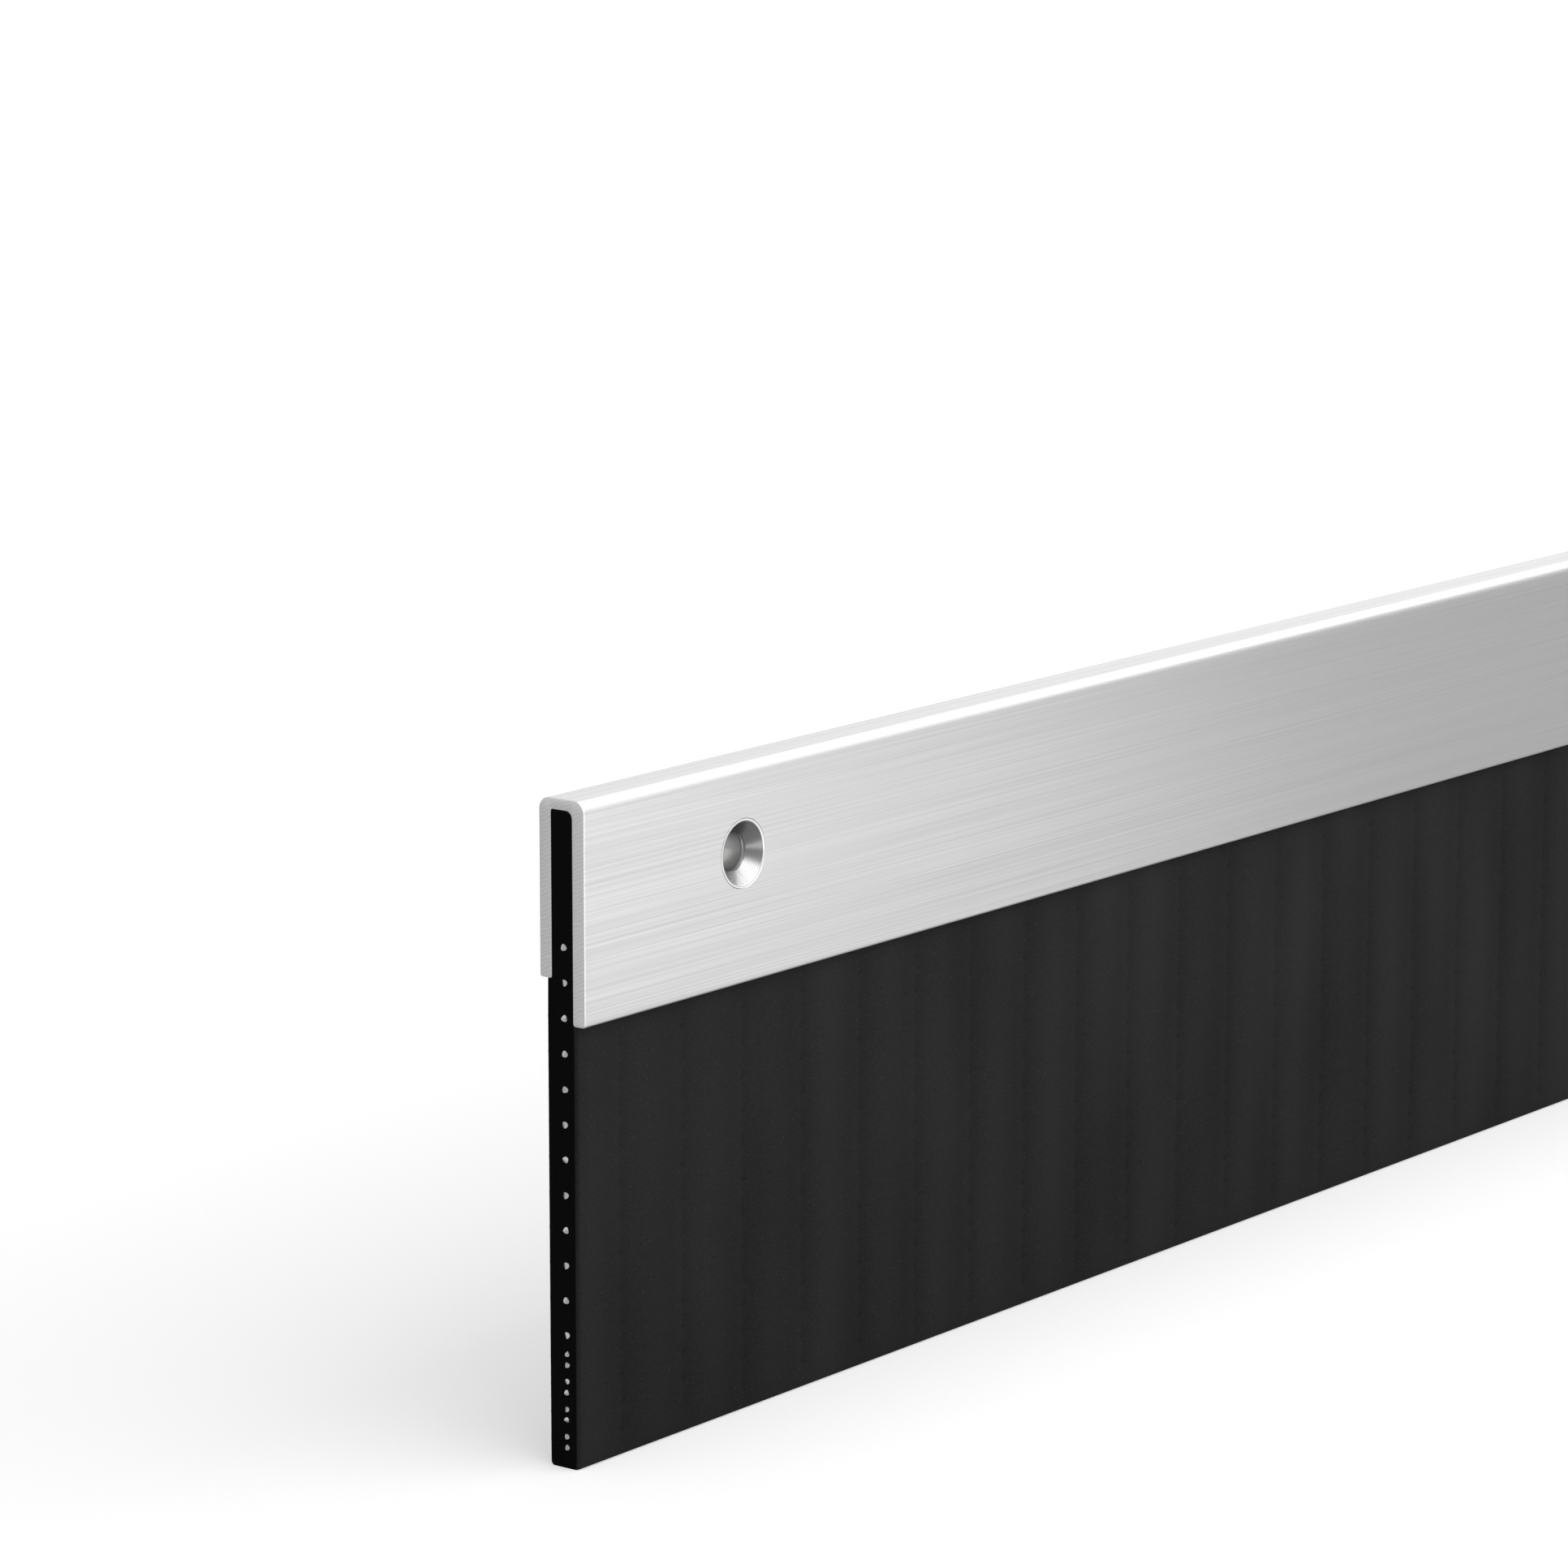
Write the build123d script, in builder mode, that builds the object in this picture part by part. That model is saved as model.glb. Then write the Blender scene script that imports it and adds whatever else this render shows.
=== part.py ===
from build123d import *
import os
from math import cos, radians, tan

# Rodent proof door seal: an aluminium channel screwed to the foot of a door, holding a rubber
# blade with steel wires moulded into it. All sizes are in millimetres.
# X runs along the seal, the front faces -Y, the back lies on the door at Y = 0, and Z = 0 is
# the line of the screws.

# Overall sizes
seal_length = 1000.0
seal_height = 90.0

# Extruded aluminium carrier: a channel open at the bottom, with a long front leg
leg_wall = 2.0
web_wall = 1.5
channel_width = 3.5
front_leg_height = 30.0
rear_leg_height = 24.0
outer_corner_radius = 1.6
inner_front_radius = 1.0
inner_rear_radius = 0.3
leg_end_radius = 0.4

# Screw holes and the flared sleeves that line them
screw_below_top = 12.2
screw_end_distance = 33.5
screw_count = 4
screw_bore = 4.8
flare_mouth = 8.8
flare_angle = 90.0
sleeve_wall = 0.25
sleeve_clearance = 0.05
punch_clearance = 0.15

# Moulded rubber blade: a thin tongue in the channel and a thicker blade with a shoulder under each leg
tongue_clearance = 0.05
tongue_top_clearance = 0.2
blade_thickness = 4.8
blade_edge_radius = 0.6
blade_end_radius = 0.5

# Steel wires along the blade: an even row, and pairs of thinner wires in the hem that meets the floor
main_wire_diameter = 0.9
main_wire_count = 12
main_wire_above_hem = 3.3
mesh_screw_margin = 4.25
hem_wire_diameter = 0.75
hem_wire_film = 0.75
hem_pair_pitch = 3.75
hem_pair_count = 4
hem_first_pair = 3.65

# Steel wires across the blade, behind the long ones
cross_wire_diameter = 0.7
cross_wire_count = 76
cross_wire_end_distance = 8.75
cross_wire_film = 0.15
cross_wire_overrun = 1.2

# Wires are drawn many-sided to keep the model light: the long ones show their ends, the cross wires are hidden
long_wire_sides = 12
cross_wire_sides = 4

# Heights, from the screw line
top = screw_below_top
bottom = top - seal_height
web_under = top - web_wall
front_leg_end = top - front_leg_height
rear_leg_end = top - rear_leg_height
tongue_top = web_under - tongue_top_clearance

# Depths, from the door
carrier_front = -(2 * leg_wall + channel_width)
channel_front = carrier_front + leg_wall
channel_rear = -leg_wall
tongue_front = channel_front + tongue_clearance
tongue_rear = channel_rear - tongue_clearance
tongue_thickness = tongue_rear - tongue_front
shoulder = (blade_thickness - tongue_thickness) / 2
blade_front = tongue_front - shoulder
blade_rear = tongue_rear + shoulder

# Screw places, on the front face of the carrier
screw_spacing = (seal_length - 2 * screw_end_distance) / (screw_count - 1)
screw_positions = [screw_end_distance - seal_length / 2 + n * screw_spacing for n in range(screw_count)]
screw_places = [Plane((x, carrier_front, 0), x_dir=(1, 0, 0), z_dir=(0, -1, 0)) for x in screw_positions]

# Sleeve sizes: the flare's wall is as thick as the tube's, and its rim is flush with the carrier's front
flare_half = radians(flare_angle / 2)
bore_radius = screw_bore / 2
mouth_radius = flare_mouth / 2
sleeve_radius = bore_radius + sleeve_wall
sleeve_length = leg_wall + channel_width
sink_radius = mouth_radius + sleeve_wall / cos(flare_half)
inner_throat = carrier_front + (mouth_radius - bore_radius) / tan(flare_half)
outer_throat = carrier_front + (sink_radius - sleeve_radius) / tan(flare_half)

# Depths of the wires: both layers together lie in the middle of the tongue
mesh_thickness = main_wire_diameter + cross_wire_film + cross_wire_diameter
mesh_front = tongue_front + (tongue_thickness - mesh_thickness) / 2
wire_line = mesh_front + main_wire_diameter / 2
cross_wire_line = mesh_front + mesh_thickness - cross_wire_diameter / 2

# Heights of the long wires
hem_pair_centres = [bottom + hem_first_pair + n * hem_pair_pitch for n in range(hem_pair_count)]
hem_half_spacing = (hem_wire_diameter + hem_wire_film) / 2
hem_wire_heights = [z + side * hem_half_spacing for z in hem_pair_centres for side in (-1, 1)]
main_wire_first = hem_pair_centres[-1] + main_wire_above_hem
main_wire_last = -sleeve_radius - mesh_screw_margin - main_wire_diameter / 2
main_wire_pitch = (main_wire_last - main_wire_first) / (main_wire_count - 1)
main_wire_heights = [main_wire_first + n * main_wire_pitch for n in range(main_wire_count)]

# Places of the cross wires along the seal, and their length
cross_wire_first = cross_wire_end_distance - seal_length / 2
cross_wire_pitch = -2 * cross_wire_first / (cross_wire_count - 1)
cross_wire_positions = [cross_wire_first + n * cross_wire_pitch for n in range(cross_wire_count)]
cross_wire_bottom = hem_wire_heights[0] - cross_wire_overrun
cross_wire_length = main_wire_heights[-1] + cross_wire_overrun - cross_wire_bottom

seal_end = Plane.YZ.offset(-seal_length / 2)

os.makedirs("parts", exist_ok=True)

# Aluminium carrier
with BuildPart() as aluminium_carrier:
    with BuildSketch(seal_end) as carrier_section:
        with BuildLine():
            Polyline(
                (0, rear_leg_end),
                (0, top),
                (carrier_front, top),
                (carrier_front, front_leg_end),
                (channel_front, front_leg_end),
                (channel_front, web_under),
                (channel_rear, web_under),
                (channel_rear, rear_leg_end),
                close=True,
            )
        make_face()
        corners = carrier_section.vertices().sort_by(Axis.Y)
        leg_end_corners, web_corners, top_corners = corners[:4], corners[4:6], corners[6:]
        inner_front_corner, inner_rear_corner = web_corners.sort_by(Axis.X)
        fillet(top_corners, radius=outer_corner_radius)
        fillet(inner_front_corner, radius=inner_front_radius)
        fillet(inner_rear_corner, radius=inner_rear_radius)
        fillet(leg_end_corners, radius=leg_end_radius)
    extrude(amount=seal_length)
    # The front leg is countersunk for the sleeves, and the rear leg has the screws' own bore
    with Locations(*screw_places):
        CounterSinkHole(
            radius=sleeve_radius + sleeve_clearance,
            counter_sink_radius=sink_radius + sleeve_clearance,
            depth=leg_wall + channel_width / 2,
            counter_sink_angle=flare_angle,
        )
        Hole(radius=bore_radius)
aluminium_carrier.part.label = "aluminium_carrier"
export_step(aluminium_carrier.part, "parts/aluminium_carrier.step")

# Rubber blade, with a tunnel for each long wire, a pocket for each cross wire and the punched screw holes
with BuildPart() as rubber_blade:
    with BuildSketch(seal_end) as blade_section:
        with BuildLine():
            Polyline(
                (tongue_rear, tongue_top),
                (tongue_front, tongue_top),
                (tongue_front, front_leg_end),
                (blade_front, front_leg_end),
                (blade_front, bottom),
                (blade_rear, bottom),
                (blade_rear, rear_leg_end),
                (tongue_rear, rear_leg_end),
                close=True,
            )
        make_face()
        tongue_front_corner, tongue_rear_corner = blade_section.vertices().group_by(Axis.Y)[-1].sort_by(Axis.X)
        fillet(blade_section.vertices().group_by(Axis.Y)[0], radius=blade_edge_radius)
        fillet(tongue_front_corner, radius=inner_front_radius)
        fillet(tongue_rear_corner, radius=inner_rear_radius)
    extrude(amount=seal_length)
    # The ends are softly rounded round the blade's front
    fillet(rubber_blade.edges().filter_by(Axis.Z).group_by(Axis.Y)[0], radius=blade_end_radius)
    with BuildSketch(seal_end):
        with Locations(*[(wire_line, z) for z in main_wire_heights]):
            RegularPolygon(main_wire_diameter / 2, long_wire_sides)
        with Locations(*[(wire_line, z) for z in hem_wire_heights]):
            RegularPolygon(hem_wire_diameter / 2, long_wire_sides)
    extrude(amount=seal_length, mode=Mode.SUBTRACT)
    with BuildSketch(Plane.XY.offset(cross_wire_bottom)):
        with Locations(*[(x, cross_wire_line) for x in cross_wire_positions]):
            RegularPolygon(cross_wire_diameter / 2, cross_wire_sides)
    extrude(amount=cross_wire_length, mode=Mode.SUBTRACT)
    with Locations(*screw_places):
        CounterSinkHole(
            radius=sleeve_radius + punch_clearance,
            counter_sink_radius=sink_radius + sleeve_clearance,
            depth=sleeve_length,
            counter_sink_angle=flare_angle,
        )
rubber_blade.part.label = "rubber_blade"
export_step(rubber_blade.part, "parts/rubber_blade.step")

# Screw sleeves: each flares into the countersink and stands on the rear leg
for number, screw_x in enumerate(screw_positions, 1):
    with BuildPart() as screw_sleeve:
        with BuildSketch(Plane((screw_x, 0, 0))):
            with BuildLine():
                Polyline(
                    (bore_radius, channel_rear),
                    (bore_radius, inner_throat),
                    (mouth_radius, carrier_front),
                    (sink_radius, carrier_front),
                    (sleeve_radius, outer_throat),
                    (sleeve_radius, channel_rear),
                    close=True,
                )
            make_face()
        revolve(axis=Axis((screw_x, 0, 0), (0, 1, 0)))
    screw_sleeve.part.label = f"screw_sleeve_{number}"
    export_step(screw_sleeve.part, f"parts/screw_sleeve_{number}.step")

# Long wires of the main row, from the hem up
for number, wire_z in enumerate(main_wire_heights, 1):
    with BuildPart() as mesh_wire:
        with BuildSketch(seal_end):
            with Locations((wire_line, wire_z)):
                RegularPolygon(main_wire_diameter / 2, long_wire_sides)
        extrude(amount=seal_length)
    mesh_wire.part.label = f"mesh_wire_{number}"
    export_step(mesh_wire.part, f"parts/mesh_wire_{number}.step")

# Thinner long wires of the hem, from the floor up
for number, wire_z in enumerate(hem_wire_heights, 1):
    with BuildPart() as hem_wire:
        with BuildSketch(seal_end):
            with Locations((wire_line, wire_z)):
                RegularPolygon(hem_wire_diameter / 2, long_wire_sides)
        extrude(amount=seal_length)
    hem_wire.part.label = f"hem_wire_{number}"
    export_step(hem_wire.part, f"parts/hem_wire_{number}.step")

# Cross wires, all alike, as one group
with BuildPart() as cross_wires:
    with BuildSketch(Plane.XY.offset(cross_wire_bottom)):
        with Locations(*[(x, cross_wire_line) for x in cross_wire_positions]):
            RegularPolygon(cross_wire_diameter / 2, cross_wire_sides)
    extrude(amount=cross_wire_length)
cross_wires.part.label = "cross_wires"
export_step(cross_wires.part, "parts/cross_wires.step")
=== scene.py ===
import math
import random

import bmesh
import bpy
from mathutils import Matrix, Vector


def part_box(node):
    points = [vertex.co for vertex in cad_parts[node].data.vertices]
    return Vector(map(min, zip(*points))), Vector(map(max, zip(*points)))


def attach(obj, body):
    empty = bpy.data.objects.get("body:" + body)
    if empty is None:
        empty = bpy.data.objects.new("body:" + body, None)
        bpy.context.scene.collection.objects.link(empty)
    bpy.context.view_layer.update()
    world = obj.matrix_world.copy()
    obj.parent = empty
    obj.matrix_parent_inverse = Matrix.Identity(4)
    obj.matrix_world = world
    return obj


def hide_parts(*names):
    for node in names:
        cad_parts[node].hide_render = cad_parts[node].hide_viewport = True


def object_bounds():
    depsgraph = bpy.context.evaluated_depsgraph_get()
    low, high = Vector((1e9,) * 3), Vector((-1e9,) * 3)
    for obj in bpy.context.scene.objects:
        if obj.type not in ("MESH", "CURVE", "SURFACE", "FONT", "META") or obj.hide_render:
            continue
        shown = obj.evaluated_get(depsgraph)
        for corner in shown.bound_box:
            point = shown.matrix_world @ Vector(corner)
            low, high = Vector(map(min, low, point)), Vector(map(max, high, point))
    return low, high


# A rodent proof door seal: an aluminium channel that holds a rubber blade with steel wires moulded in.
# Meshes are worked out in millimetres and scaled to metres when a piece is made.

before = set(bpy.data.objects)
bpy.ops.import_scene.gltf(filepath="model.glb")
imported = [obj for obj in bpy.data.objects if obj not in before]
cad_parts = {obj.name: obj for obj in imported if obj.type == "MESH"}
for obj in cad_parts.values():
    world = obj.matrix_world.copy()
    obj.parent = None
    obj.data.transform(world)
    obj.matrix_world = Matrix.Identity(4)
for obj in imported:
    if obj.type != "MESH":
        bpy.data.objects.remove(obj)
cadLow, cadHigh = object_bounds()
mm = 0.001
bpy.context.scene.view_settings.view_transform = "Standard"
print("frame loaded:", len(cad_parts), "nodes")


def nodeBox(node):  # lowest and highest corner of a node, in millimetres
    low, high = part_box(node)
    return low / mm, high / mm


carrierLow, carrierHigh = nodeBox("aluminium_carrier")
bladeLow, bladeHigh = nodeBox("rubber_blade")
crossLow, crossHigh = nodeBox("cross_wires")
sleeveNodes = [f"screw_sleeve_{n}" for n in range(1, 5)]
meshWireNodes = [f"mesh_wire_{n}" for n in range(1, 13)]
hemWireNodes = [f"hem_wire_{n}" for n in range(1, 9)]
screwLine = [(low.x + high.x) / 2 for low, high in map(nodeBox, sleeveNodes)]


# Materials
waveUnit = 0.314  # a Wave texture of scale 1 repeats after this many metres
noiseLow, noiseHigh = 0.35, 0.65  # a Noise texture seldom leaves this range


def linear(code):  # an sRGB hex value as a linear colour
    parts = [int(code[n:n + 2], 16) / 255 for n in (1, 3, 5)]
    return [c / 12.92 if c <= 0.04045 else ((c + 0.055) / 1.055) ** 2.4 for c in parts] + [1.0]


# Inputs are values, or sockets to link from. By number, a Mix has its share at 0, values at 2 and 3 and
# colours at 6 and 7. A Map Range has its value at 0, the old range at 1 and 2 and the new one at 3 and 4.
def addNode(tree, kind, inputs=None, **settings):
    node = tree.nodes.new(kind)
    for key, value in settings.items():
        setattr(node, key, value)
    for key, value in (inputs or {}).items():
        if isinstance(value, bpy.types.NodeSocket):
            tree.links.new(value, node.inputs[key])
        else:
            node.inputs[key].default_value = value
    return node


def newTree(owner):
    owner.use_nodes = True
    owner.node_tree.nodes.clear()
    return owner.node_tree


def lengthwise(length, width):  # the scale of a pattern whose marks run along X
    return (1 / length / mm, 1 / width / mm, 1 / width / mm)


# Anodised aluminium, brushed along its length: a soft grey metal whose fine lines smear light across them
brushed = dict(
    lightHex="#B8B8B8", darkHex="#ABABAB", darkest=0.36, lightest=0.64,
    lineWidth=0.22, lineLength=90.0,  # brush lines are nearer 0.05 mm, drawn this coarse so that they show
    streakWidth=2.6, streakLength=400.0, streakShare=0.18,
    lineDepth=0.0015, fineRoughness=0.34, coarseRoughness=0.42, anisotropy=0.75,
)


def brushedAluminium():
    material = bpy.data.materials.new("anodised_aluminium_brushed")
    tree = newTree(material)
    place = addNode(tree, "ShaderNodeTexCoord").outputs["Object"]
    lineScale = lengthwise(brushed["lineLength"], brushed["lineWidth"])
    lineMap = addNode(tree, "ShaderNodeMapping", {"Vector": place, "Scale": lineScale})
    lines = addNode(tree, "ShaderNodeTexNoise",
                    {"Vector": lineMap.outputs[0], "Scale": 1.0, "Detail": 3.0, "Roughness": 0.6})
    streakScale = lengthwise(brushed["streakLength"], brushed["streakWidth"])
    streakMap = addNode(tree, "ShaderNodeMapping", {"Vector": place, "Scale": streakScale})
    streaks = addNode(tree, "ShaderNodeTexNoise",
                      {"Vector": streakMap.outputs[0], "Scale": 1.0, "Detail": 2.0})
    both = addNode(tree, "ShaderNodeMix",
                   {0: brushed["streakShare"], 2: lines.outputs[0], 3: streaks.outputs[0]})
    spread = addNode(tree, "ShaderNodeMapRange",
                     {0: both.outputs[0], 1: brushed["darkest"], 2: brushed["lightest"], 3: 0.0, 4: 1.0})
    tone = addNode(tree, "ShaderNodeMix",
                   {0: spread.outputs[0], 6: linear(brushed["darkHex"]), 7: linear(brushed["lightHex"])},
                   data_type="RGBA")
    rough = addNode(tree, "ShaderNodeMapRange",
                    {0: lines.outputs[0], 1: noiseLow, 2: noiseHigh,
                     3: brushed["coarseRoughness"], 4: brushed["fineRoughness"]})
    relief = addNode(tree, "ShaderNodeBump",
                     {"Height": lines.outputs[0], "Distance": brushed["lineDepth"] * mm, "Strength": 1.0})
    across = addNode(tree, "ShaderNodeTangent", direction_type="RADIAL", axis="X")
    metal = addNode(tree, "ShaderNodeBsdfPrincipled",
                    {"Base Color": tone.outputs[2], "Metallic": 1.0, "Roughness": rough.outputs[0],
                     "Anisotropic": brushed["anisotropy"], "Tangent": across.outputs[0],
                     "Normal": relief.outputs[0]})
    addNode(tree, "ShaderNodeOutputMaterial", {"Surface": metal.outputs[0]})
    return material


# The same aluminium where the saw cut it: duller, with the slanting marks of the blade's teeth
sawn = dict(
    lightHex="#D0D0D0", darkHex="#C6C6C6",
    markPitch=0.5, markDepth=0.001, slant=24.0, roughness=0.48,
)


def sawnAluminium():
    material = bpy.data.materials.new("aluminium_sawn")
    tree = newTree(material)
    place = addNode(tree, "ShaderNodeTexCoord").outputs["Object"]
    turned = addNode(tree, "ShaderNodeMapping",
                     {"Vector": place, "Rotation": (math.radians(sawn["slant"]), 0.0, 0.0)})
    marks = addNode(tree, "ShaderNodeTexWave",
                    {"Vector": turned.outputs[0], "Scale": waveUnit / sawn["markPitch"] / mm,
                     "Distortion": 6.0, "Detail": 3.0, "Detail Scale": 1.2},
                    bands_direction="Z")
    tone = addNode(tree, "ShaderNodeMix",
                   {0: marks.outputs["Fac"], 6: linear(sawn["darkHex"]), 7: linear(sawn["lightHex"])},
                   data_type="RGBA")
    relief = addNode(tree, "ShaderNodeBump",
                     {"Height": marks.outputs["Fac"], "Distance": sawn["markDepth"] * mm, "Strength": 0.6})
    metal = addNode(tree, "ShaderNodeBsdfPrincipled",
                    {"Base Color": tone.outputs[2], "Metallic": 1.0, "Roughness": sawn["roughness"],
                     "Normal": relief.outputs[0]})
    addNode(tree, "ShaderNodeOutputMaterial", {"Surface": metal.outputs[0]})
    return material


# Moulded black rubber: almost matt, with a fine grain and pale dust specks; upright bands of painted shade
# and sheen, darker over the cross wires, are mixed into its colour, and its roughness varies with them
rubber = dict(
    darkHex="#1C1C1C", paleHex="#282828", speckHex="#4A4A4A",
    grain=0.34, grainShare=0.55, grainDepth=0.020,  # nearer 0.1 mm in the mould, drawn this coarse to show
    speckSize=0.9, speckShare=0.11,
    bandPitch=13.1, bandShare=0.14,  # a band of painted shade runs up each cross wire
    cloudWidth=18.0, cloudHeight=45.0,
    ior=1.5, lowRoughness=0.62, highRoughness=0.68, specular=0.05,
)


def mouldedRubber():
    material = bpy.data.materials.new("rubber_moulded")
    tree = newTree(material)
    place = addNode(tree, "ShaderNodeTexCoord").outputs["Object"]
    grain = addNode(tree, "ShaderNodeTexNoise",
                    {"Vector": place, "Scale": 1 / rubber["grain"] / mm, "Detail": 2.0, "Roughness": 0.6})
    cloudScale = (1 / rubber["cloudWidth"] / mm, 0.0, 1 / rubber["cloudHeight"] / mm)
    cloudMap = addNode(tree, "ShaderNodeMapping", {"Vector": place, "Scale": cloudScale})
    clouds = addNode(tree, "ShaderNodeTexNoise",
                     {"Vector": cloudMap.outputs[0], "Scale": 1.0, "Detail": 1.0})
    bands = addNode(tree, "ShaderNodeTexWave",  # half a turn of phase puts the painted shade on the wires
                    {"Vector": place, "Scale": waveUnit / rubber["bandPitch"] / mm, "Phase Offset": math.pi,
                     "Distortion": 0.9, "Detail": 1.0, "Detail Scale": 1.5})
    # The upright clouds and the cross-wire bands paint shade and sheen into the colour, and also set the
    # roughness
    paintedShadeAndSheen = addNode(tree, "ShaderNodeMix",
                    {0: rubber["bandShare"], 2: clouds.outputs[0], 3: bands.outputs["Fac"]})
    both = addNode(tree, "ShaderNodeMix",
                   {0: rubber["grainShare"], 2: paintedShadeAndSheen.outputs[0], 3: grain.outputs[0]})
    spread = addNode(tree, "ShaderNodeMapRange",
                     {0: both.outputs[0], 1: noiseLow, 2: noiseHigh, 3: 0.0, 4: 1.0})
    tone = addNode(tree, "ShaderNodeMix",
                   {0: spread.outputs[0], 6: linear(rubber["darkHex"]), 7: linear(rubber["paleHex"])},
                   data_type="RGBA")
    cells = addNode(tree, "ShaderNodeTexVoronoi",
                    {"Vector": place, "Scale": 1 / rubber["speckSize"] / mm, "Randomness": 1.0})
    speck = addNode(tree, "ShaderNodeMapRange",
                    {0: cells.outputs["Distance"], 1: rubber["speckShare"], 2: 0.0, 3: 0.0, 4: 1.0})
    dusted = addNode(tree, "ShaderNodeMix",
                     {0: speck.outputs[0], 6: tone.outputs[2], 7: linear(rubber["speckHex"])},
                     data_type="RGBA")
    rough = addNode(tree, "ShaderNodeMapRange",
                    {0: paintedShadeAndSheen.outputs[0], 1: noiseLow, 2: noiseHigh,
                     3: rubber["highRoughness"], 4: rubber["lowRoughness"]})
    relief = addNode(tree, "ShaderNodeBump",
                     {"Height": grain.outputs[0], "Distance": rubber["grainDepth"] * mm, "Strength": 1.0})
    skin = addNode(tree, "ShaderNodeBsdfPrincipled",
                   {"Base Color": dusted.outputs[2], "Roughness": rough.outputs[0], "IOR": rubber["ior"],
                    "Specular IOR Level": rubber["specular"], "Normal": relief.outputs[0]})
    addNode(tree, "ShaderNodeOutputMaterial", {"Surface": skin.outputs[0]})
    return material


# The same rubber where a knife cut it: deep black, with drag lines and no moulded sheen
cutFace = dict(
    darkHex="#060606", paleHex="#0E0E0E",
    dragPitch=0.5, dragStretch=0.15, dragDepth=0.02, ior=1.5, roughness=0.85, specular=0.03,
)


def cutRubber():
    material = bpy.data.materials.new("rubber_cut")
    tree = newTree(material)
    place = addNode(tree, "ShaderNodeTexCoord").outputs["Object"]
    across = 1 / cutFace["dragPitch"] / mm
    dragScale = (across, across, cutFace["dragStretch"] / cutFace["dragPitch"] / mm)
    dragMap = addNode(tree, "ShaderNodeMapping", {"Vector": place, "Scale": dragScale})
    drag = addNode(tree, "ShaderNodeTexNoise", {"Vector": dragMap.outputs[0], "Scale": 1.0, "Detail": 3.0})
    tone = addNode(tree, "ShaderNodeMix",
                   {0: drag.outputs[0], 6: linear(cutFace["darkHex"]), 7: linear(cutFace["paleHex"])},
                   data_type="RGBA")
    relief = addNode(tree, "ShaderNodeBump",
                     {"Height": drag.outputs[0], "Distance": cutFace["dragDepth"] * mm, "Strength": 1.0})
    skin = addNode(tree, "ShaderNodeBsdfPrincipled",
                   {"Base Color": tone.outputs[2], "Roughness": cutFace["roughness"], "IOR": cutFace["ior"],
                    "Specular IOR Level": cutFace["specular"], "Normal": relief.outputs[0]})
    addNode(tree, "ShaderNodeOutputMaterial", {"Surface": skin.outputs[0]})
    return material


# Drawn steel wire: bright, with lengthwise die lines and a bright nipped end
wireSteel = dict(
    lightHex="#D2D2D0", darkHex="#A4A4A4", roughness=0.32,
    lineWidth=0.12, lineLength=6.0,  # die lines are nearer 0.02 mm, drawn this coarse so that they show
)


def drawnSteel():
    material = bpy.data.materials.new("steel_wire_drawn")
    tree = newTree(material)
    place = addNode(tree, "ShaderNodeTexCoord").outputs["Object"]
    lineScale = lengthwise(wireSteel["lineLength"], wireSteel["lineWidth"])
    lineMap = addNode(tree, "ShaderNodeMapping", {"Vector": place, "Scale": lineScale})
    lines = addNode(tree, "ShaderNodeTexNoise", {"Vector": lineMap.outputs[0], "Scale": 1.0, "Detail": 2.0})
    tone = addNode(tree, "ShaderNodeMix",
                   {0: lines.outputs[0], 6: linear(wireSteel["darkHex"]), 7: linear(wireSteel["lightHex"])},
                   data_type="RGBA")
    metal = addNode(tree, "ShaderNodeBsdfPrincipled",
                    {"Base Color": tone.outputs[2], "Metallic": 1.0, "Roughness": wireSteel["roughness"]})
    addNode(tree, "ShaderNodeOutputMaterial", {"Surface": metal.outputs[0]})
    return material


# Polished steel, turned: a mirror with faint rings from the tool, its grey kept darker than bare steel as a
# painted dark reflection of the surroundings in the countersink, and a rim that is burnished bright
polished = dict(lightHex="#7E7E7E", darkHex="#747474", ringPitch=0.22, ringDepth=0.0006, roughness=0.27)
burnished = dict(lightHex="#BEBEBE", darkHex="#B4B4B4", ringPitch=0.22, ringDepth=0.0006, roughness=0.3)


def turnedSteel(name, look):
    material = bpy.data.materials.new(name)
    tree = newTree(material)
    place = addNode(tree, "ShaderNodeTexCoord").outputs["Object"]
    rings = addNode(tree, "ShaderNodeTexWave",
                    {"Vector": place, "Scale": waveUnit / look["ringPitch"] / mm, "Distortion": 0.6},
                    bands_direction="Y")
    tone = addNode(tree, "ShaderNodeMix",
                   {0: rings.outputs["Fac"], 6: linear(look["darkHex"]), 7: linear(look["lightHex"])},
                   data_type="RGBA")
    relief = addNode(tree, "ShaderNodeBump",
                     {"Height": rings.outputs["Fac"], "Distance": look["ringDepth"] * mm, "Strength": 0.5})
    metal = addNode(tree, "ShaderNodeBsdfPrincipled",
                    {"Base Color": tone.outputs[2], "Metallic": 1.0, "Roughness": look["roughness"],
                     "Normal": relief.outputs[0]})
    addNode(tree, "ShaderNodeOutputMaterial", {"Surface": metal.outputs[0]})
    return material


aluminiumFinish = brushedAluminium()
sawnFinish = sawnAluminium()
rubberFinish = mouldedRubber()
cutFinish = cutRubber()
wireFinish = drawnSteel()
sleeveFinish = turnedSteel("steel_turned_polished", polished)
rimFinish = turnedSteel("steel_turned_burnished", burnished)
print("materials made")


# Shared mesh steps
holeRing = dict(pointSpacing=1.0, inset=0.5)  # how a patch round a hole is divided and drawn in


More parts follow.
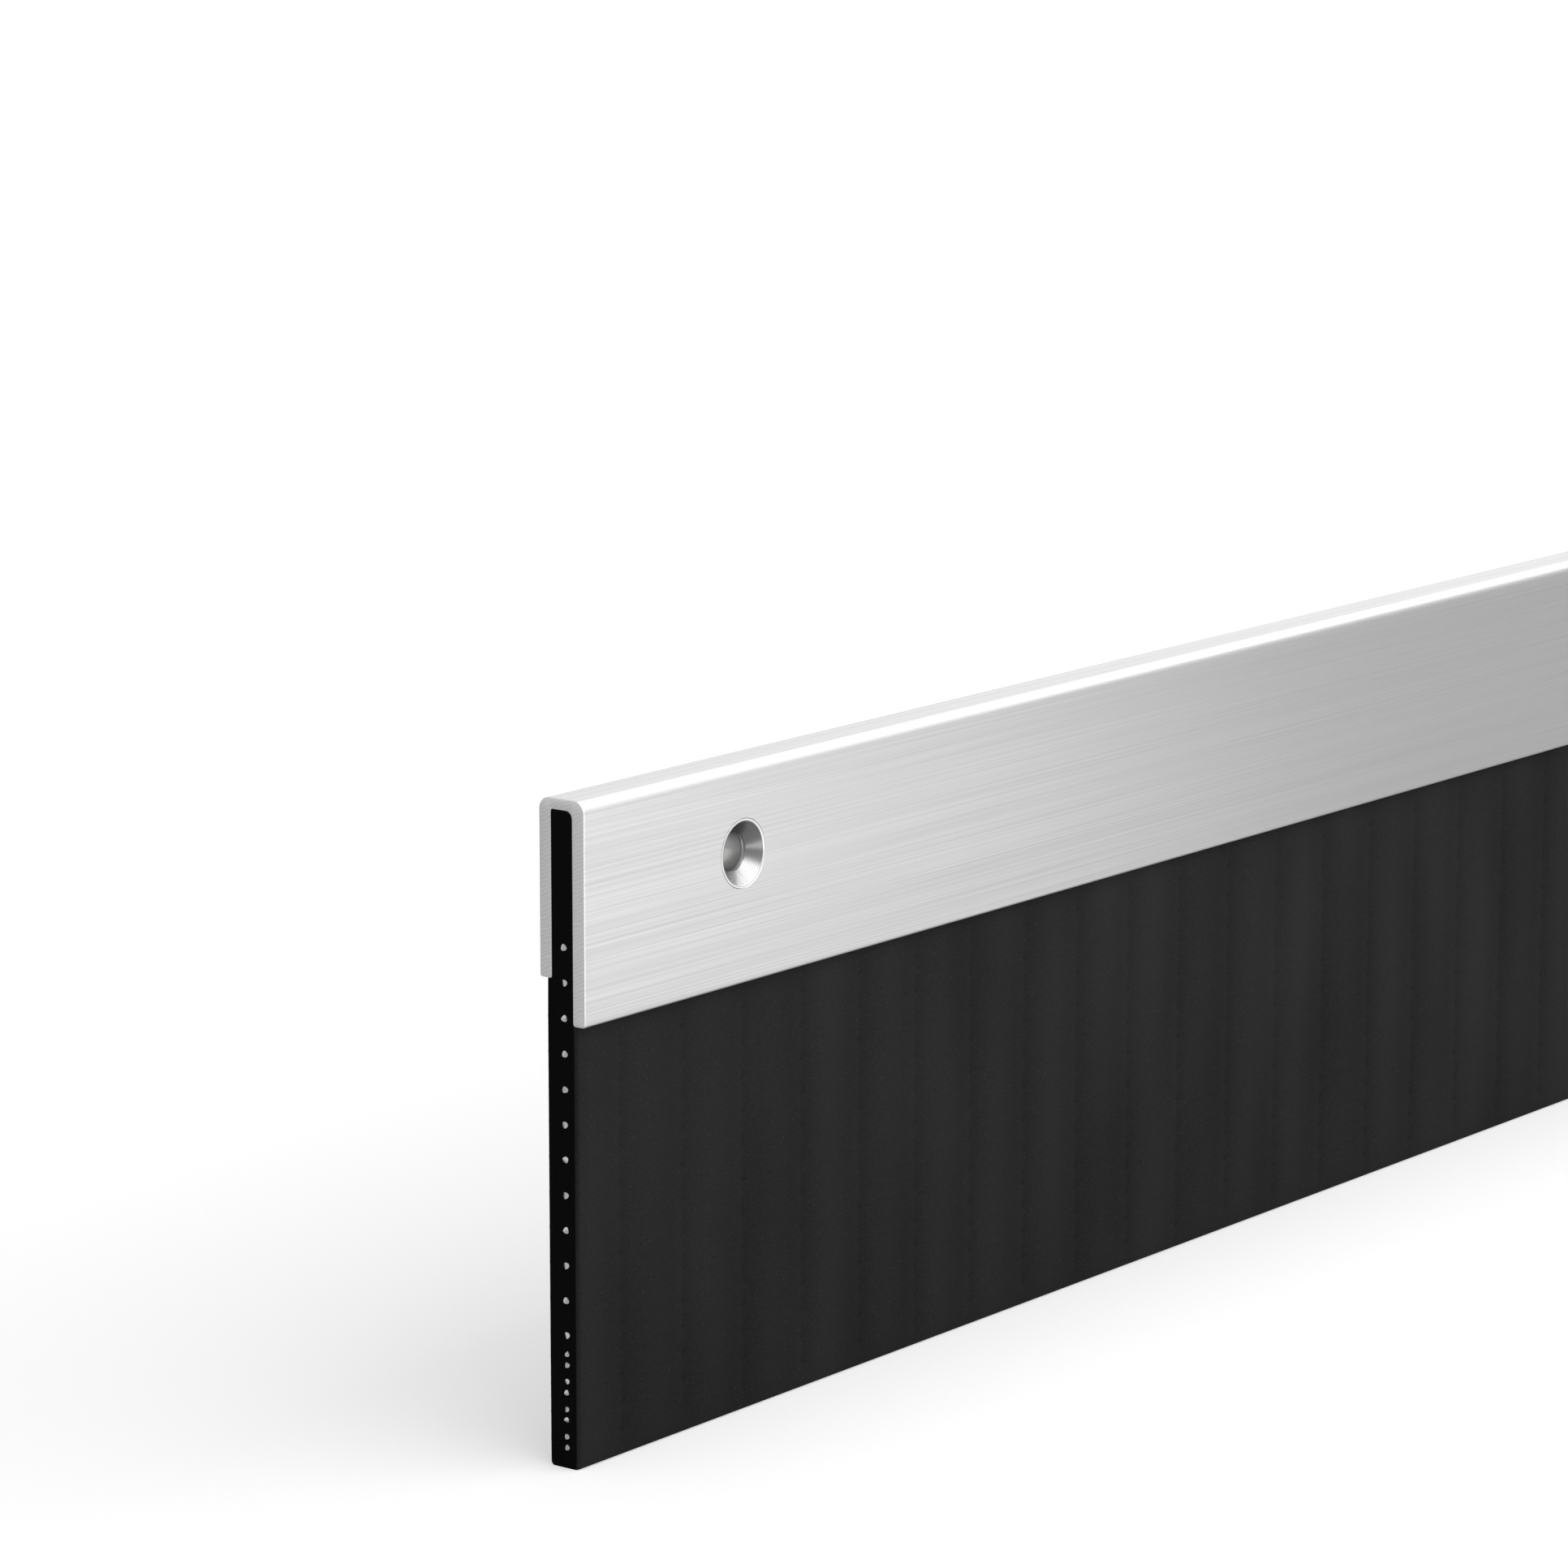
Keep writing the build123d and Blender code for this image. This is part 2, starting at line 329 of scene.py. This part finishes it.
def roundedSection(bm, points, radii, segments):  # a flat face through the points, with its corners rounded
    corners = [bm.verts.new(point) for point in points]
    bm.faces.new(corners)
    for corner, radius in zip(corners, radii):
        if radius > 0:
            bmesh.ops.bevel(bm, geom=[corner], offset=radius, segments=segments, profile=0.5,
                            affect="VERTICES", material=-1)
    return next(iter(bm.faces))


def kindOf(geometry, kind):  # the points, edges or faces among what an operator gives back
    return [item for item in geometry if isinstance(item, kind)]


def openHole(bm, face, radius):  # turns a flat face into a ring round a circular face, and returns that
    centre = face.calc_center_bounds()
    for edge in face.edges[:]:
        if edge.calc_length() > holeRing["pointSpacing"]:
            cuts = int(edge.calc_length() / holeRing["pointSpacing"])
            bmesh.ops.bisect_edges(bm, edges=[edge], cuts=cuts)
    bmesh.ops.inset_region(bm, faces=[face], thickness=holeRing["inset"])
    shapeHole(face, centre, radius)
    return face


def shapeHole(face, centre, radius):
    for vert in face.verts:
        arm = vert.co - centre
        arm.y = 0.0
        vert.co = centre + arm.normalized() * radius


def sinkHole(bm, face, depth, radius):  # carries a circular face on along Y, and returns it
    centre = face.calc_center_bounds() + Vector((0.0, depth, 0.0))
    moved = bmesh.ops.extrude_face_region(bm, geom=[face])
    bmesh.ops.delete(bm, geom=[face], context="FACES_ONLY")  # the operator leaves it behind as a cover
    floor = kindOf(moved["geom"], bmesh.types.BMFace)[0]
    shapeHole(floor, centre, radius)
    return floor


def makePiece(name, bm, materials, sharpAngle):
    bmesh.ops.scale(bm, vec=(mm, mm, mm), verts=bm.verts)
    mesh = bpy.data.meshes.new(name)
    bm.to_mesh(mesh)
    bm.free()
    for material in materials:
        mesh.materials.append(material)
    mesh.shade_smooth()
    mesh.set_sharp_from_angle(angle=math.radians(sharpAngle))
    piece = bpy.data.objects.new(name, mesh)
    bpy.context.scene.collection.objects.link(piece)
    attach(piece, "root")
    return piece


# Aluminium carrier: the extruded channel with its sawn ends and countersunk holes
carrier = dict(
    legWall=2.0, webWall=1.5, rearLegHeight=24.0,
    outerRadius=1.6, innerFrontRadius=1.0, innerRearRadius=0.3, legEndRadius=0.4, arcSegments=8,
    sinkRadius=4.804, rearBore=2.4, patch=7.0,
    sawnChamfer=0.12, chamferSegments=2, flatMargin=0.25,
    endFacing=0.9, sawnFacing=0.3,  # how squarely a face looks along X to be an end, or to be sawn
    mergeWithin=0.002, sharpAngle=28,
)


def faceAt(bm, x, y, z):  # the face whose middle is nearest to a point
    return min(bm.faces, key=lambda face: (face.calc_center_bounds() - Vector((x, y, z))).length)


def buildCarrier():
    front, back = carrierLow.y, carrierHigh.y
    channelFront, channelRear = front + carrier["legWall"], back - carrier["legWall"]
    top, frontEnd = carrierHigh.z, carrierLow.z
    webUnder, rearEnd = top - carrier["webWall"], top - carrier["rearLegHeight"]
    outline = [(back, rearEnd), (back, top), (front, top), (front, frontEnd),
               (channelFront, frontEnd), (channelFront, webUnder),
               (channelRear, webUnder), (channelRear, rearEnd)]
    endRadius, outerRadius = carrier["legEndRadius"], carrier["outerRadius"]
    radii = [endRadius, outerRadius, outerRadius, endRadius,
             endRadius, carrier["innerFrontRadius"], carrier["innerRearRadius"], endRadius]
    bm = bmesh.new()
    section = roundedSection(bm, [(carrierLow.x, y, z) for y, z in outline], radii, carrier["arcSegments"])
    moved = bmesh.ops.extrude_face_region(bm, geom=[section])
    farEnd = kindOf(moved["geom"], bmesh.types.BMVert)
    bmesh.ops.translate(bm, vec=(carrierHigh.x - carrierLow.x, 0, 0), verts=farEnd)
    bmesh.ops.recalc_face_normals(bm, faces=bm.faces)
    # The saw's burr is taken off all round both ends
    endFaces = [face for face in bm.faces if abs(face.normal.x) > carrier["endFacing"]]
    endEdges = list({edge for face in endFaces for edge in face.edges})
    bmesh.ops.bevel(bm, geom=endEdges, offset=carrier["sawnChamfer"], segments=carrier["chamferSegments"],
                    profile=0.5, affect="EDGES", material=-1)
    for face in bm.faces:
        face.material_index = 1 if abs(face.normal.x) > carrier["sawnFacing"] else 0
    # Each hole gets a square patch of its own, on both sides of both legs
    patch = carrier["patch"]
    planes = [((x + side * patch, 0, 0), (1, 0, 0)) for x in screwLine for side in (-1, 1)]
    planes += [((0, 0, side * patch), (0, 0, 1)) for side in (-1, 1)]
    # Cuts close beside the rounded edges keep the flats between them flat
    margin = carrier["flatMargin"]
    planes += [((0, 0, z), (0, 0, 1)) for z in (top - outerRadius - margin, frontEnd + endRadius + margin,
                                                rearEnd + endRadius + margin)]
    planes += [((0, y, 0), (0, 1, 0)) for y in (front + outerRadius + margin, back - outerRadius - margin)]
    endMargin = carrier["sawnChamfer"] + margin
    planes += [((x, 0, 0), (1, 0, 0)) for x in (carrierLow.x + endMargin, carrierHigh.x - endMargin)]
    for point, normal in planes:
        bmesh.ops.bisect_plane(bm, geom=bm.verts[:] + bm.edges[:] + bm.faces[:],
                               plane_co=point, plane_no=normal)
    throat = carrier["sinkRadius"] - carrier["legWall"]  # the 45 degree countersink goes through its leg
    for x in screwLine:
        mouth, inner, seat, rear = [faceAt(bm, x, y, 0.0) for y in (front, channelFront, channelRear, back)]
        mouth = openHole(bm, mouth, carrier["sinkRadius"])
        inner = openHole(bm, inner, throat)
        seat = openHole(bm, seat, carrier["rearBore"])
        rear = openHole(bm, rear, carrier["rearBore"])
        mouth = sinkHole(bm, mouth, carrier["legWall"], throat)
        seat = sinkHole(bm, seat, carrier["legWall"], carrier["rearBore"])
        bmesh.ops.delete(bm, geom=[mouth, inner, seat, rear], context="FACES_ONLY")
    bmesh.ops.remove_doubles(bm, verts=bm.verts, dist=carrier["mergeWithin"])
    bmesh.ops.recalc_face_normals(bm, faces=bm.faces)
    finishes = [aluminiumFinish, sawnFinish]
    piece = makePiece("brushedCarrier", bm, finishes, carrier["sharpAngle"])
    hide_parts("aluminium_carrier")


buildCarrier()
print("carrier made")


# Screw sleeves: turned and flared steel linings, each standing on the rear leg
sleeve = dict(
    bore=2.4, mouth=4.4, wall=0.25,
    throatRound=0.5, rimRound=0.12, footRound=0.06, arcSegments=5, steps=96,
    rimFacing=0.8,  # how squarely a face looks out to the front to be part of the rim
    mergeWithin=0.001, sharpAngle=40,
)


def buildSleeve(name, node):
    low, high = nodeBox(node)
    axisX, front, foot = (low.x + high.x) / 2, low.y, high.y
    bore, mouth, wall = sleeve["bore"], sleeve["mouth"], sleeve["wall"]
    rim = mouth + wall * math.sqrt(2)  # the flare opens at 45 degrees to the axis, and its rim is flush
    outer = bore + wall
    profile = [(bore, foot), (bore, front + mouth - bore), (mouth, front),
               (rim, front), (outer, front + rim - outer), (outer, foot)]
    radii = [sleeve["footRound"], sleeve["throatRound"], sleeve["rimRound"],
             sleeve["footRound"], sleeve["throatRound"], sleeve["footRound"]]
    bm = bmesh.new()
    roundedSection(bm, [(axisX + r, y, 0.0) for r, y in profile], radii, sleeve["arcSegments"])
    bmesh.ops.delete(bm, geom=bm.faces[:], context="FACES_ONLY")
    bmesh.ops.spin(bm, geom=bm.verts[:] + bm.edges[:], cent=(axisX, 0, 0), axis=(0, 1, 0),
                   angle=math.tau, steps=sleeve["steps"], use_merge=True)
    bmesh.ops.remove_doubles(bm, verts=bm.verts, dist=sleeve["mergeWithin"])
    bmesh.ops.recalc_face_normals(bm, faces=bm.faces)
    # The rim is burnished, and the inside of the tube is as it was drawn
    for face in bm.faces:
        middle = face.calc_center_median()
        if face.normal.y < -sleeve["rimFacing"]:
            face.material_index = 1
        elif math.hypot(middle.x - axisX, middle.z) < bore + wall / 2 and middle.y > front + mouth - bore:
            face.material_index = 2
    finishes = [sleeveFinish, rimFinish, wireFinish]
    piece = makePiece(name, bm, finishes, sleeve["sharpAngle"])
    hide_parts(node)


for count, node in enumerate(sleeveNodes, 1):
    buildSleeve(f"flaredSleeve{count}", node)
print("sleeves made:", len(sleeveNodes))


# Rubber blade: a tongue in the channel, shoulders under the legs, and faces that show where the wires cross
blade = dict(
    tongueFront=-5.45, tongueRear=-2.05,
    frontTopRadius=1.0, rearTopRadius=0.3, edgeRadius=0.6, arcSegments=5, endRadius=0.5, endSegments=4,
    crossWires=76, crossWireRadius=0.35, crossWireSides=4, dimpleRadius=0.4, dimpleDepth=0.28,
    ripple=0.09, rippleSteps=6, wireRidge=0.02, edgeFade=3.0,
    swing=0.25, swingWaves=(29.0, 53.0), lean=0.5, leanWave=17.0,  # how the ripple's height and line wander
    rowClear=1.0, endClear=1.0, endMargin=0.1,
    tunnelGap=0.02, tunnelSides=16, screwHole=2.8, patch=7.0,
    onFace=0.001, onTongue=0.01, sharpAngle=38,
)


def wirePlace(node):  # a long wire's depth, height and radius
    low, high = nodeBox(node)
    centre = (low + high) / 2
    return centre.y, centre.z, (high.z - low.z) / 2


def inPatch(point, x, y, reach):  # whether a point of the tongue is close round a screw
    return abs(point.x - x) < reach and abs(point.z) < reach and abs(point.y - y) < blade["onTongue"]


def buildBlade():
    front, rear = bladeLow.y, bladeHigh.y
    bottom, top, frontShoulder = bladeLow.z, bladeHigh.z, carrierLow.z
    rearShoulder = carrierHigh.z - carrier["rearLegHeight"]
    outline = [(blade["tongueRear"], top), (blade["tongueFront"], top),
               (blade["tongueFront"], frontShoulder), (front, frontShoulder), (front, bottom), (rear, bottom),
               (rear, rearShoulder), (blade["tongueRear"], rearShoulder)]
    radii = [blade["rearTopRadius"], blade["frontTopRadius"], 0, 0,
             blade["edgeRadius"], blade["edgeRadius"], 0, 0]
    # Rows of dimples follow the long wires, and columns the cross wires
    mainRows = [wirePlace(node)[1] for node in meshWireNodes]
    hemHeights = [wirePlace(node)[1] for node in hemWireNodes]
    hemRows = [(a + b) / 2 for a, b in zip(hemHeights[::2], hemHeights[1::2])]
    rows = [z for z in hemRows + mainRows if z < rearShoulder - blade["rowClear"]]
    firstColumn = crossLow.x + blade["crossWireRadius"]
    lastColumn = crossHigh.x - blade["crossWireRadius"]
    pitch = (lastColumn - firstColumn) / (blade["crossWires"] - 1)
    dimple = blade["dimpleRadius"]
    offsets = [-dimple, 0.0, dimple]
    bm = bmesh.new()
    roundedSection(bm, [(bladeLow.x, y, z) for y, z in outline], radii, blade["arcSegments"])
    bmesh.ops.delete(bm, geom=bm.faces[:], context="FACES_ONLY")
    patch = blade["patch"]
    for z in [row + offset for row in rows for offset in offsets] + [-patch, patch]:
        bmesh.ops.bisect_plane(bm, geom=bm.verts[:] + bm.edges[:], plane_co=(0, 0, z), plane_no=(0, 0, 1))
    # The section is drawn out along the seal and divided, and then each line goes to its place
    endAngles = [math.radians(90 * n / blade["endSegments"]) for n in range(blade["endSegments"] + 1)]
    endSteps = [blade["endRadius"] * (1 - math.cos(angle)) for angle in endAngles]
    lines = [bladeLow.x + step for step in endSteps] + [bladeHigh.x - step for step in reversed(endSteps)]
    for column in range(blade["crossWires"]):
        x = firstColumn + column * pitch
        lines += [x + offset for offset in offsets]
        between = [x - pitch * step / blade["rippleSteps"] for step in range(1, blade["rippleSteps"])]
        lines += [line for line in between if line > bladeLow.x + blade["endClear"]]
    lines += [bladeHigh.x - (line - bladeLow.x) for line in lines if line < firstColumn - 2 * dimple
              and line > bladeLow.x + blade["endRadius"] + blade["endMargin"]]
    lines += [x + side * patch for x in screwLine for side in (-1, 1)]
    lines = sorted(lines)
    length = bladeHigh.x - bladeLow.x
    nearRing = bm.edges[:]
    drawn = bmesh.ops.extrude_edge_only(bm, edges=nearRing)
    farRing = kindOf(drawn["geom"], bmesh.types.BMEdge)
    bmesh.ops.translate(bm, vec=(length, 0, 0), verts=kindOf(drawn["geom"], bmesh.types.BMVert))
    longEdges = [edge for edge in bm.edges if edge.calc_length() > length / 2]
    bmesh.ops.subdivide_edges(bm, edges=longEdges, cuts=len(lines) - 2, use_grid_fill=True)
    step = length / (len(lines) - 1)
    for vert in bm.verts:
        vert.co.x = lines[round((vert.co.x - bladeLow.x) / step)]
    # The faces ripple over the cross wires, swell a little over the long ones and dip where they cross
    shortWave, longWave = blade["swingWaves"]
    for vert in bm.verts:
        x, y, z = vert.co
        onFront, onRear = abs(y - front) < blade["onFace"], abs(y - rear) < blade["onFace"]
        if onFront or onRear:
            shoulder = frontShoulder if onFront else rearShoulder
            room = min(z - bottom - blade["edgeRadius"], shoulder - z)
            fade = min(1.0, max(0.0, room / blade["edgeFade"]))
            along = (x - firstColumn) / pitch
            wander = math.sin(x / shortWave) * math.cos(x / longWave)
            swing = 1 - blade["swing"] + blade["swing"] * wander
            lean = blade["lean"] * math.sin(z / blade["leanWave"])
            relief = blade["ripple"] * fade * swing * math.sin(math.tau * along + lean)
            rowGap = min(abs(z - row) for row in rows)
            columnGap = abs(along - round(along)) * pitch
            if rowGap < dimple / 2:
                relief += blade["wireRidge"] * fade
                if columnGap < dimple / 2 and 0 <= round(along) < blade["crossWires"]:
                    relief -= blade["dimpleDepth"] * min(1.0, fade * 2)
            vert.co.y += -relief if onFront else relief
        # The cut ends are worn round at the front edge
        fromEnd, radius = min(x - bladeLow.x, bladeHigh.x - x), blade["endRadius"]
        nearFront = y < front + blade["edgeRadius"] and z < frontShoulder + blade["onFace"]
        if fromEnd < radius and nearFront:
            share = (front + blade["edgeRadius"] - y) / blade["edgeRadius"]
            vert.co.y += min(1.0, share) * (radius - math.sqrt(radius ** 2 - (radius - fromEnd) ** 2))
    # The screw holes are punched through the tongue
    for x in screwLine:
        rims = []
        for y in (blade["tongueFront"], blade["tongueRear"]):
            faces = [face for face in bm.faces if inPatch(face.calc_center_median(), x, y, patch)]
            merged = bmesh.ops.dissolve_faces(bm, faces=faces)["region"][0]
            circle = openHole(bm, merged, blade["screwHole"])
            rims += circle.edges[:]
            bmesh.ops.delete(bm, geom=[circle], context="FACES_ONLY")
        for face in bmesh.ops.bridge_loops(bm, edges=rims)["faces"]:
            face.material_index = 1
    # The ends are closed round the wires' tunnels, which run right through
    nearHoles, farHoles = [], []
    for node in meshWireNodes + hemWireNodes:
        y, z, radius = wirePlace(node)
        for x, store in ((bladeLow.x, nearHoles), (bladeHigh.x, farHoles)):
            turn = Matrix.Translation((x, y, z)) @ Matrix.Rotation(math.pi / 2, 4, "Y")
            circle = bmesh.ops.create_circle(bm, cap_ends=False, radius=radius + blade["tunnelGap"],
                                             segments=blade["tunnelSides"], matrix=turn)
            store.append(list({edge for vert in circle["verts"] for edge in vert.link_edges}))
    for rim, holes, side in ((nearRing, nearHoles, -1), (farRing, farHoles, 1)):
        rims = rim + [edge for hole in holes for edge in hole]
        cap = bmesh.ops.triangle_fill(bm, edges=rims, normal=(side, 0, 0), use_beauty=True)
        for face in kindOf(cap["geom"], bmesh.types.BMFace):
            face.material_index = 1
    for near, far in zip(nearHoles, farHoles):
        tunnel = bmesh.ops.bridge_loops(bm, edges=near + far)
        for face in tunnel["faces"]:
            face.material_index = 1
    # Each cross wire lies in a closed pocket, whose faces look inwards
    pockets = []
    pocketRadius = blade["crossWireRadius"] + blade["tunnelGap"]
    pocketDepth = crossHigh.z - crossLow.z + 2 * blade["tunnelGap"]
    crossMiddle = (crossLow + crossHigh) / 2
    for column in range(blade["crossWires"]):
        middle = (firstColumn + column * pitch, crossMiddle.y, crossMiddle.z)
        pocket = bmesh.ops.create_cone(bm, cap_ends=True, segments=blade["crossWireSides"],
                                       radius1=pocketRadius, radius2=pocketRadius,
                                       depth=pocketDepth, matrix=Matrix.Translation(middle))
        pockets += list({face for vert in pocket["verts"] for face in vert.link_faces})
    bmesh.ops.recalc_face_normals(bm, faces=bm.faces)
    bmesh.ops.reverse_faces(bm, faces=pockets)
    piece = makePiece("mouldedBlade", bm, [rubberFinish, cutFinish], blade["sharpAngle"])
    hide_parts("rubber_blade")
    return piece


bladePiece = buildBlade()
print("blade made:", len(bladePiece.data.polygons), "faces")


# Long wires: drawn steel, nipped to a blunt ridge that stands a little proud of the rubber
wire = dict(sides=20, proud=0.25, nipAngle=30.0, angleSpread=8.0, proudSpread=0.08, sharpAngle=35, seed=11)


def buildWire(name, node, chance):
    low, high = nodeBox(node)
    centre, radius = (low + high) / 2, (high.z - low.z) / 2
    bm = bmesh.new()
    length = high.x - low.x + 2 * (wire["proud"] + wire["proudSpread"])
    turn = Matrix.Translation(centre) @ Matrix.Rotation(math.pi / 2, 4, "Y")
    bmesh.ops.create_cone(bm, cap_ends=True, segments=wire["sides"], radius1=radius, radius2=radius,
                          depth=length, matrix=turn)
    for outward, endX in ((-1, low.x), (1, high.x)):
        roll = chance.uniform(0.0, math.tau)
        tip = endX + outward * (wire["proud"] + chance.uniform(-1, 1) * wire["proudSpread"])
        for side in (-1, 1):
            angle = math.radians(wire["nipAngle"] + chance.uniform(-1, 1) * wire["angleSpread"])
            slope = (outward * math.cos(angle), side * math.sin(angle) * math.cos(roll),
                     side * math.sin(angle) * math.sin(roll))
            cut = bmesh.ops.bisect_plane(bm, geom=bm.verts[:] + bm.edges[:] + bm.faces[:], clear_outer=True,
                                         plane_co=(tip, centre.y, centre.z), plane_no=slope)
            bmesh.ops.edgenet_fill(bm, edges=kindOf(cut["geom_cut"], bmesh.types.BMEdge))
    bmesh.ops.recalc_face_normals(bm, faces=bm.faces)
    piece = makePiece(name, bm, [wireFinish], wire["sharpAngle"])
    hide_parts(node)


chance = random.Random(wire["seed"])
for count, node in enumerate(meshWireNodes, 1):
    buildWire(f"meshWire{count}", node, chance)
for count, node in enumerate(hemWireNodes, 1):
    buildWire(f"hemWire{count}", node, chance)
print("long wires made:", len(meshWireNodes) + len(hemWireNodes))

# The cross wires are sealed inside the rubber, so their solids stay
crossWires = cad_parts["cross_wires"]
crossWires.data.materials.clear()
crossWires.data.materials.append(wireFinish)


# Floor and light
studio = dict(
    floorHex="#D4D4D4", floorRadius=40.0, floorSides=64, skyHex="#FFFFFF", ambient=0.34,
    nearGlow=0.40, farGlow=0.9, glowFrom=0.05, glowTo=0.55, glowInMetal=0.15,  # by distance from the seal
)
softboxes = [  # a reflector only shows in metal and gloss
    dict(name="frontAbove", size=(2.2, 0.9), radiance=1.9,
         place=(-0.30, -0.85, 0.85), aim=(-0.30, 0.0, 0.0), reflector=False),
    dict(name="overhead", size=(2.2, 1.0), radiance=0.95,
         place=(-0.25, -0.10, 1.20), aim=(-0.25, 0.0, 0.0), reflector=False),
    dict(name="frontRight", size=(0.9, 0.8), radiance=0.8,
         place=(0.30, -1.05, 0.36), aim=(-0.4, 0.0, -0.02), reflector=True),
    dict(name="lowCard", size=(0.5, 0.45), radiance=1.9,
         place=(-0.40, -0.34, -0.07), aim=(-0.40, -0.34, 1.0), reflector=True),
    dict(name="frontCard", size=(1.3, 0.7), radiance=3.0,
         place=(-0.34, -0.80, 0.84), aim=(-0.34, 0.0, 0.0), reflector=True),
    dict(name="aboveRight", size=(1.0, 0.8), radiance=3.0,
         place=(0.80, -0.25, 0.90), aim=(-0.35, 0.0, 0.0), reflector=True),
    dict(name="behind", size=(2.6, 1.0), radiance=0.3,
         place=(1.00, 1.15, 0.60), aim=(-0.35, 0.0, 0.01), reflector=True),
]


def showsWhite(tree, inMetal):  # 1 for what the eye sees straight, a share of it in metal or through glass
    path = addNode(tree, "ShaderNodeLightPath")
    mirrored = addNode(tree, "ShaderNodeMath",
                       {0: path.outputs["Is Glossy Ray"], 1: path.outputs["Is Transmission Ray"]},
                       operation="MAXIMUM")
    dimmed = addNode(tree, "ShaderNodeMath", {0: mirrored.outputs[0], 1: inMetal}, operation="MULTIPLY")
    return addNode(tree, "ShaderNodeMath",
                   {0: path.outputs["Is Camera Ray"], 1: dimmed.outputs[0]}, operation="MAXIMUM").outputs[0]


def buildFloor():
    bm = bmesh.new()
    bmesh.ops.create_circle(bm, cap_ends=True, radius=studio["floorRadius"], segments=studio["floorSides"],
                            matrix=Matrix.Translation((0, 0, cadLow.z)))
    mesh = bpy.data.meshes.new("floor")
    bm.to_mesh(mesh)
    bm.free()
    floor = bpy.data.objects.new("floor", mesh)
    bpy.context.scene.collection.objects.link(floor)
    paper = bpy.data.materials.new("studio_paper")
    tree = newTree(paper)
    matt = addNode(tree, "ShaderNodeBsdfDiffuse", {"Color": linear(studio["floorHex"])})
    # The paper glows less near the seal, so that the shadow shows there
    place = addNode(tree, "ShaderNodeTexCoord").outputs["Object"]
    beyond = addNode(tree, "ShaderNodeVectorMath", {0: place}, operation="ABSOLUTE")
    beyond = addNode(tree, "ShaderNodeVectorMath", {0: beyond.outputs[0], 1: (cadHigh.x, 0.0, -cadLow.z)},
                     operation="SUBTRACT")
    beyond = addNode(tree, "ShaderNodeVectorMath", {0: beyond.outputs[0], 1: (0.0, 0.0, 0.0)},
                     operation="MAXIMUM")
    reach = addNode(tree, "ShaderNodeVectorMath", {0: beyond.outputs[0]}, operation="LENGTH")
    level = addNode(tree, "ShaderNodeMapRange",
                    {0: reach.outputs["Value"], 1: studio["glowFrom"], 2: studio["glowTo"],
                     3: studio["nearGlow"], 4: studio["farGlow"]}, interpolation_type="SMOOTHSTEP")
    glow = addNode(tree, "ShaderNodeMath",
                   {0: showsWhite(tree, studio["glowInMetal"]), 1: level.outputs[0]}, operation="MULTIPLY")
    light = addNode(tree, "ShaderNodeEmission", {"Strength": glow.outputs[0]})
    both = addNode(tree, "ShaderNodeAddShader", {0: matt.outputs[0], 1: light.outputs[0]})
    addNode(tree, "ShaderNodeOutputMaterial", {"Surface": both.outputs[0]})
    mesh.materials.append(paper)


def buildSky():
    world = bpy.data.worlds.new("studio")
    bpy.context.scene.world = world
    tree = newTree(world)
    level = addNode(tree, "ShaderNodeMapRange", {0: showsWhite(tree, 1.0), 3: studio["ambient"], 4: 1.0})
    sky = addNode(tree, "ShaderNodeBackground",
                  {"Color": linear(studio["skyHex"]), "Strength": level.outputs[0]})
    addNode(tree, "ShaderNodeOutputWorld", {"Surface": sky.outputs[0]})


def hangSoftboxes():
    for box in softboxes:
        lamp = bpy.data.lights.new(box["name"], "AREA")
        lamp.shape = "RECTANGLE"
        lamp.size, lamp.size_y = box["size"]
        lamp.energy = box["radiance"] * math.pi * lamp.size * lamp.size_y
        holder = bpy.data.objects.new(box["name"], lamp)
        holder.location = box["place"]
        aim = Vector(box["aim"]) - holder.location
        holder.rotation_euler = aim.to_track_quat("-Z", "Y").to_euler()
        holder.visible_camera = False
        holder.visible_diffuse = not box["reflector"]
        bpy.context.scene.collection.objects.link(holder)


buildFloor()
buildSky()
hangSoftboxes()
print("studio made")


# Camera: a long lens, low and to the left of the seal's near end
camera = dict(place=(-1104.65, -505.72, 168.14), heading=52.403, down=11.092, lens=142.26, sensor=36.0)


def buildCamera():
    lens = bpy.data.cameras.new("camera")
    lens.lens = camera["lens"]
    lens.sensor_width = camera["sensor"]
    holder = bpy.data.objects.new("camera", lens)
    holder.location = Vector(camera["place"]) * mm
    holder.rotation_euler = (math.radians(90.0 - camera["down"]), 0.0, math.radians(-camera["heading"]))
    bpy.context.scene.collection.objects.link(holder)
    bpy.context.scene.camera = holder


buildCamera()
print("camera set")
